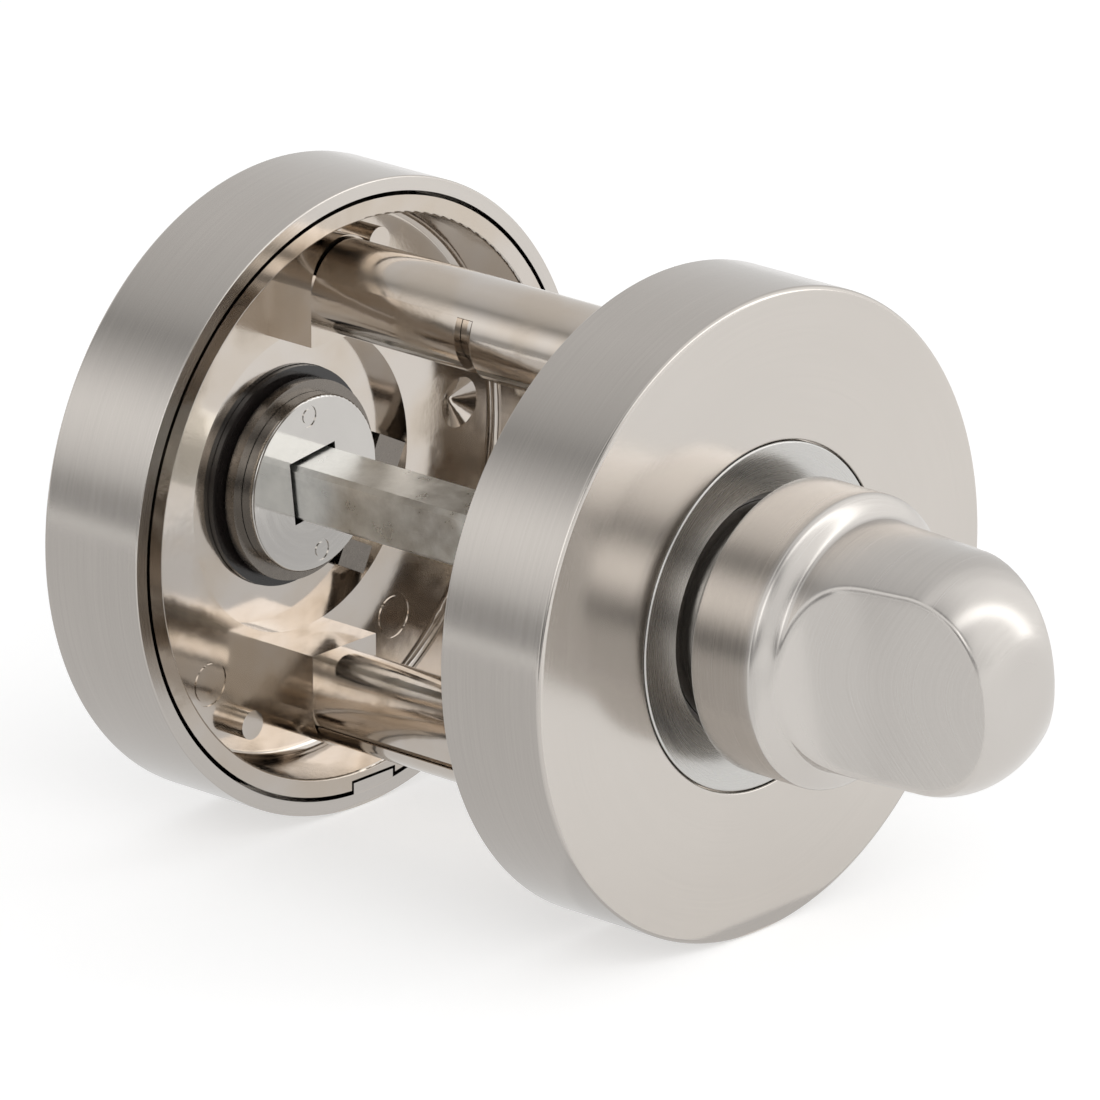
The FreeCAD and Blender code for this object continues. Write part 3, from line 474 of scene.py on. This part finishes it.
def fine_cover(node, door, way, hole, material):
    """Cap with a rounded front edge and a tooth inside its rim; way is its side of the door."""
    outline = soft_outline((
        (hole, COVER_FLOOR, 0), (COVER_INSIDE, COVER_FLOOR, 0), (COVER_INSIDE, 0, 0),
        (COVER_RADIUS, 0, RIM_EDGE), (COVER_RADIUS, COVER_DEPTH, COVER_EDGE),
        (hole, COVER_DEPTH, RIM_EDGE),
    ))
    shape = bmesh.new()
    rings = []
    for step in range(COVER_STEPS):
        angle = math.tau * step / COVER_STEPS
        across = math.cos(angle)
        up = math.sin(angle)
        rings.append([shape.verts.new((radius * across, door + way * depth, radius * up))
                      for radius, depth in outline])
    for step in range(COVER_STEPS):
        near = rings[step - 1]
        far = rings[step]
        for index in range(len(outline)):
            shape.faces.new((near[index - 1], near[index], far[index], far[index - 1]))
    tooth = bmesh.ops.create_cube(shape, size=1.0)["verts"]
    place = (TOOTH_SIDE, door + way * TOOTH_DEPTH, TOOTH_HEIGHT)
    bmesh.ops.scale(shape, vec=TOOTH_SIZE, verts=tooth)
    bmesh.ops.translate(shape, vec=place, verts=tooth)
    bmesh.ops.recalc_face_normals(shape, faces=shape.faces)
    add_piece(shape, node, "roses", material)


# Thumb turn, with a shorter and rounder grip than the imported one
def soft_smaller(first, second, rounding):
    """The smaller of two distances, with a soft change from one to the other."""
    near = max(rounding - abs(first - second), 0) / rounding
    return min(first, second) - near * near * rounding / 4


def scooped_flat(knob, depth):
    """Axis to a flat at a depth: out of reach before the shoulder, a hollow run-out, a taper."""
    past = depth - knob.shoulder
    if past <= 0:
        return 2 * knob.body_radius
    taper = (knob.flat_root - knob.flat_tip) / (knob.nose - knob.shoulder)
    left = max(1 - past / knob.scoop_length, 0)
    hollow = (knob.body_radius - knob.flat_root) * left ** SCOOP_POWER
    return knob.flat_root - past * taper + hollow


def grip_radius(knob, depth):
    """Round body, soft shoulder and tapering grip, before the flats and the nose."""
    fall = (knob.root_radius - knob.tip_radius) / (knob.nose - knob.shoulder)
    grip = knob.root_radius - fall * (depth - knob.shoulder)
    start = knob.shoulder - knob.shoulder_length / 2
    part = min(max((depth - start) / knob.shoulder_length, 0), 1)
    share = (1 + math.cos(math.pi * part)) / 2
    return share * knob.body_radius + (1 - share) * grip


def knob_outline(knob):
    """Radius and depth from the neck's end to the nose."""
    outline = [(NECK_RADIUS, NECK_END), (NECK_RADIUS, GROOVE_BACK),
               (GROOVE_RADIUS, GROOVE_BACK), (GROOVE_RADIUS, GROOVE_FRONT),
               (NECK_RADIUS, GROOVE_FRONT), (NECK_RADIUS, BODY_BACK),
               (knob.body_radius - 2 * BODY_EDGE, BODY_BACK)]
    for step in range(BODY_EDGE_RINGS + 1):
        angle = math.radians(90 * step / BODY_EDGE_RINGS)
        outline.append((knob.body_radius - BODY_EDGE * (1 - math.sin(angle)),
                        BODY_BACK + BODY_EDGE * (1 - math.cos(angle))))
    start = knob.shoulder - knob.shoulder_length / 2
    for step in range(1, BODY_RINGS + 1):
        depth = BODY_BACK + BODY_EDGE + (start - BODY_BACK - BODY_EDGE) * step / BODY_RINGS
        outline.append((knob.body_radius, depth))
    for step in range(1, SHOULDER_RINGS + 1):
        depth = start + (knob.shoulder - start) * step / SHOULDER_RINGS
        outline.append((grip_radius(knob, depth), depth))
    middle = knob.nose - knob.nose_round
    for step in range(1, GRIP_RINGS + 1):
        depth = knob.shoulder + (middle - knob.shoulder) * (step / GRIP_RINGS) ** 2
        outline.append((grip_radius(knob, depth), depth))
    inner = grip_radius(knob, middle) - knob.nose_round
    for step in range(1, NOSE_RINGS + 1):
        angle = math.radians(90 * step / NOSE_RINGS)
        outline.append((inner + knob.nose_round * math.cos(angle),
                        middle + knob.nose_round * math.sin(angle)))
    for share in NOSE_SHARES:
        outline.append((inner * share, knob.nose))
    return outline


def fine_knob(knob, material):
    """Neck with a square socket, round body and a grip with two scooped flats."""
    turn = Matrix.Rotation(KNOB_LEAN, 3, "Y")
    angles = [math.tau * step / KNOB_STEPS for step in range(KNOB_STEPS)]
    shape = bmesh.new()

    def add_ring(depth, reach):
        ring = []
        for angle in angles:
            far = reach(angle)
            point = Vector((far * math.cos(angle), -depth, far * math.sin(angle)))
            ring.append(shape.verts.new(turn @ point))
        return ring

    def square(angle):
        return SOCKET_HALF / max(abs(math.cos(angle)), abs(math.sin(angle)))

    rings = [add_ring(SOCKET_END, square), add_ring(NECK_END, square)]
    for radius, depth in knob_outline(knob):
        flat = scooped_flat(knob, depth)

        def reach(angle, radius=radius, flat=flat):
            to_flat = flat / max(abs(math.cos(angle)), LEAST_COSINE)
            return soft_smaller(radius, to_flat, knob.crest_round)

        rings.append(add_ring(depth, reach))
    for near, far in zip(rings, rings[1:]):
        for index in range(KNOB_STEPS):
            shape.faces.new((near[index - 1], near[index], far[index], far[index - 1]))
    shape.faces.new(rings[0])
    shape.faces.new(rings[-1])
    bmesh.ops.recalc_face_normals(shape, faces=shape.faces)
    add_piece(shape, "thumb_turn", "turn", material)


# Stage
def flat_sheet(name, width, height):
    mesh = bpy.data.meshes.new(name)
    half_width = width / 2
    half_height = height / 2
    corners = [(-half_width, -half_height, 0), (half_width, -half_height, 0),
               (half_width, half_height, 0), (-half_width, half_height, 0)]
    mesh.from_pydata(corners, [], [(0, 1, 2, 3)])
    sheet = add_object(name, mesh)
    return sheet


def face_point(direction, distance):
    """Stand at a distance from the lock in a direction, looking at it."""
    way = Vector(direction).normalized()
    turned = way.to_track_quat("Z", "Y").to_matrix().to_4x4()
    return Matrix.Translation(LOCK_MIDDLE + way * distance) @ turned


def only_in_metal(sheet, tree, glow):
    """Make a sheet shine in the metal without lighting, shading or hiding anything."""
    output = tree.node("ShaderNodeOutputMaterial")
    tree.link(glow.outputs[0], output.inputs["Surface"])
    sheet.visible_camera = False
    sheet.visible_diffuse = False
    sheet.visible_shadow = False


def add_card(name, middle, width, depth, brightness):
    """Grey card just over the floor that only shows in the metal."""
    card = flat_sheet(name, width, depth)
    card.location = (*middle, ROSE_BOTTOM + CARD_LIFT)
    material = bpy.data.materials.new(name)
    card.data.materials.append(material)
    tree = Tree(material)
    glow = tree.node("ShaderNodeEmission")
    glow.inputs["Strength"].default_value = brightness
    only_in_metal(card, tree, glow)


def add_tent(name, radius, near, far, strips, gain):
    """Curved screen over the lock, round its Y axis, that shades from strip to strip."""
    mesh = bpy.data.meshes.new(name)
    first = strips[0][0]
    last = strips[-1][0]
    points = []
    for step in range(TENT_STEPS + 1):
        angle = math.radians(first + (last - first) * step / TENT_STEPS)
        for depth in (near, far):
            points.append((radius * math.cos(angle), depth, radius * math.sin(angle)))
    faces = [(2 * step, 2 * step + 1, 2 * step + 3, 2 * step + 2)
             for step in range(TENT_STEPS)]
    mesh.from_pydata(points, [], faces)
    tent = add_object(name, mesh)
    material = bpy.data.materials.new(name)
    mesh.materials.append(material)
    tree = Tree(material)
    parts = tree.node("ShaderNodeSeparateXYZ")
    tree.link(tree.place(), parts.inputs[0])
    left = tree.math("MULTIPLY", parts.outputs[0], -1.0)
    angle = tree.math("ADD", tree.math("ARCTAN2", left, parts.outputs[2]), math.pi / 2)
    ramp = tree.node("ShaderNodeValToRGB")
    tree.link(tree.math("DIVIDE", angle, math.radians(last)), ramp.inputs[0])
    steps = ramp.color_ramp.elements
    while len(steps) < len(strips):
        steps.new(0.5)
    for step, (degrees, brightness) in zip(steps, strips):
        step.position = degrees / last
        step.color = (brightness, brightness, brightness, 1)
    glow = tree.node("ShaderNodeEmission")
    tree.link(ramp.outputs[0], glow.inputs["Color"])
    glow.inputs["Strength"].default_value = gain
    only_in_metal(tent, tree, glow)


def add_lamp(name, direction, width, height, power):
    data = bpy.data.lights.new(name, "AREA")
    data.shape = "RECTANGLE"
    data.size = width
    data.size_y = height
    data.energy = power
    lamp = add_object(name, data)
    lamp.matrix_world = face_point(direction, LAMP_DISTANCE)


def seen_background(tree):
    """1 where a ray shows the background: to the camera, in a reflection or through glass."""
    path = tree.node("ShaderNodeLightPath")
    seen = tree.math("MAXIMUM", path.outputs["Is Camera Ray"], path.outputs["Is Glossy Ray"])
    return tree.math("MAXIMUM", seen, path.outputs["Is Transmission Ray"])


def studio_world():
    """White wherever it is seen, with a softer level for the light it casts."""
    world = bpy.data.worlds.new("studio")
    tree = Tree(world)
    white = tree.node("ShaderNodeBackground")
    white.inputs["Strength"].default_value = 1.0
    white.inputs["Color"].default_value = (1, 1, 1, 1)
    soft = tree.node("ShaderNodeBackground")
    soft.inputs["Strength"].default_value = WORLD_LIGHT
    soft.inputs["Color"].default_value = (1, 1, 1, 1)
    either = tree.node("ShaderNodeMixShader")
    tree.link(seen_background(tree), either.inputs[0])
    tree.link(soft.outputs[0], either.inputs[1])
    tree.link(white.outputs[0], either.inputs[2])
    output = tree.node("ShaderNodeOutputWorld")
    tree.link(either.outputs[0], output.inputs["Surface"])
    bpy.context.scene.world = world


def pale_floor(settings):
    """White floor under the roses that keeps a soft shadow."""
    floor = flat_sheet("floor", settings.floor_size, settings.floor_size)
    floor.location.z = ROSE_BOTTOM
    material = bpy.data.materials.new("pale_floor")
    tree = Tree(material)
    matt = tree.node("ShaderNodeBsdfDiffuse")
    matt.inputs["Color"].default_value = rgba(settings.floor_colour)
    glow = tree.node("ShaderNodeEmission")
    glow.inputs["Color"].default_value = (1, 1, 1, 1)
    shown = tree.math("MULTIPLY", seen_background(tree), FLOOR_GLOW)
    tree.link(shown, glow.inputs["Strength"])
    both = tree.node("ShaderNodeAddShader")
    tree.link(matt.outputs[0], both.inputs[0])
    tree.link(glow.outputs[0], both.inputs[1])
    output = tree.node("ShaderNodeOutputMaterial")
    tree.link(both.outputs[0], output.inputs["Surface"])
    floor.data.materials.append(material)


def studio_camera(settings):
    azimuth = settings.camera_azimuth
    elevation = settings.camera_elevation
    back = Vector((math.sin(azimuth) * math.cos(elevation),
                   -math.cos(azimuth) * math.cos(elevation),
                   math.sin(elevation)))
    data = bpy.data.cameras.new("camera")
    data.sensor_width = SENSOR_WIDTH
    data.lens = settings.lens
    data.clip_start = CLIP_NEAR
    data.clip_end = CLIP_FAR
    camera = add_object("camera", data)
    turned = (-back).to_track_quat("-Z", "Y").to_matrix().to_4x4()
    place = Matrix.Translation(Vector(settings.camera_target) + back * settings.camera_distance)
    camera.matrix_world = place @ turned @ Matrix.Rotation(settings.camera_roll, 4, "Z")
    bpy.context.scene.camera = camera


# Operators
class LOCK_OT_covers(bpy.types.Operator):
    """Turn and brush the two covers"""
    bl_idname = "lock.covers"
    bl_label = "Covers"

    def execute(self, context):
        colour = context.scene.lock_finish.satin
        # side=0.87 paints shade on the cover rims, making them darker than the faces.
        satin = brushed_nickel("satin_nickel", colour, roughness=0.16, anisotropy=0.4, side=0.87)
        fine_cover("turn_cover", 0.0, -1, COLLAR_HOLE, satin)
        fine_cover("release_cover", DOOR_GAP, 1, HUB_HOLE, satin)
        return {"FINISHED"}


class LOCK_OT_collar(bpy.types.Operator):
    """Finish the trim ring round the thumb turn"""
    bl_idname = "lock.collar"
    bl_label = "Collar"

    def execute(self, context):
        colour = context.scene.lock_finish.collar
        satin = brushed_nickel("satin_ring", colour, roughness=0.27, anisotropy=0.4)
        dress(["turn_collar"], satin)
        return {"FINISHED"}


class LOCK_OT_thumb_turn(bpy.types.Operator):
    """Shape and finish the thumb turn"""
    bl_idname = "lock.thumb_turn"
    bl_label = "Thumb turn"

    def execute(self, context):
        colour = context.scene.lock_finish.knob
        satin = brushed_nickel("satin_knob", colour, roughness=0.24, anisotropy=0.2, grain=0.06)
        fine_knob(context.scene.lock_knob, satin)
        return {"FINISHED"}


class LOCK_OT_bases(bpy.types.Operator):
    """Plate the two cast bases"""
    bl_idname = "lock.bases"
    bl_label = "Bases"

    def execute(self, context):
        finish = context.scene.lock_finish
        dress(["turn_base", "release_base"], plated_casting(finish.casting, finish.casting_warm))
        return {"FINISHED"}


class LOCK_OT_coin_release(bpy.types.Operator):
    """Plate the coin release"""
    bl_idname = "lock.coin_release"
    bl_label = "Coin release"

    def execute(self, context):
        plate = bright_plate(context.scene.lock_finish.hub, roughness=0.07)
        dress(["coin_release"], plate)
        return {"FINISHED"}


class LOCK_OT_spindle(bpy.types.Operator):
    """Plate the spindle, its pin and the screws"""
    bl_idname = "lock.spindle"
    bl_label = "Spindle and screws"

    def execute(self, context):
        plate = zinc_plate(context.scene.lock_finish.zinc)
        dress(["spindle", "spindle_pin", "screw_upper", "screw_lower"], plate)
        return {"FINISHED"}


class LOCK_OT_rings(bpy.types.Operator):
    """Finish the clips, the washer and the bushes"""
    bl_idname = "lock.rings"
    bl_label = "Rings"

    def execute(self, context):
        finish = context.scene.lock_finish
        dress(["turn_circlip", "turn_washer", "release_clip"], spring_steel(finish.spring))
        dress(["turn_bush"], plastic_bush("grey_bush", finish.turn_bush))
        dress(["release_bush"], plastic_bush("dark_bush", finish.release_bush))
        return {"FINISHED"}


class LOCK_OT_stage(bpy.types.Operator):
    """Set up the floor, the light and the camera"""
    bl_idname = "lock.stage"
    bl_label = "Stage"

    def execute(self, context):
        settings = context.scene.lock_stage
        context.scene.view_settings.view_transform = "Standard"
        studio_world()
        pale_floor(settings)
        for lamp in LAMPS:
            add_lamp(*lamp)
        for tent in TENTS:
            add_tent(*tent)
        for card in CARDS:
            add_card(*card)
        studio_camera(settings)
        return {"FINISHED"}


class LOCK_PT_panel(bpy.types.Panel):
    """Lists the steps that dress the lock"""
    bl_idname = "LOCK_PT_panel"
    bl_label = "Thumb turn lock"
    bl_space_type = "VIEW_3D"
    bl_region_type = "UI"
    bl_category = "Thumb turn"

    def draw(self, context):
        layout = self.layout
        for operator in OPERATORS:
            layout.operator(operator.bl_idname)
        for group in (context.scene.lock_finish, context.scene.lock_knob, context.scene.lock_stage):
            for name in group.__annotations__:
                layout.prop(group, name)


OPERATORS = (
    LOCK_OT_covers,
    LOCK_OT_collar,
    LOCK_OT_thumb_turn,
    LOCK_OT_bases,
    LOCK_OT_coin_release,
    LOCK_OT_spindle,
    LOCK_OT_rings,
    LOCK_OT_stage,
)
CLASSES = (FinishSettings, KnobSettings, StageSettings, *OPERATORS, LOCK_PT_panel)


def register():
    for cls in CLASSES:
        bpy.utils.register_class(cls)
    bpy.types.Scene.lock_finish = bpy.props.PointerProperty(type=FinishSettings)
    bpy.types.Scene.lock_knob = bpy.props.PointerProperty(type=KnobSettings)
    bpy.types.Scene.lock_stage = bpy.props.PointerProperty(type=StageSettings)


def unregister():
    del bpy.types.Scene.lock_stage
    del bpy.types.Scene.lock_knob
    del bpy.types.Scene.lock_finish
    for cls in reversed(CLASSES):
        bpy.utils.unregister_class(cls)


def main():
    register()
    bpy.ops.lock.covers()
    bpy.ops.lock.collar()
    bpy.ops.lock.thumb_turn()
    bpy.ops.lock.bases()
    bpy.ops.lock.coin_release()
    bpy.ops.lock.spindle()
    bpy.ops.lock.rings()
    bpy.ops.lock.stage()


if __name__ == "__main__":
    main()
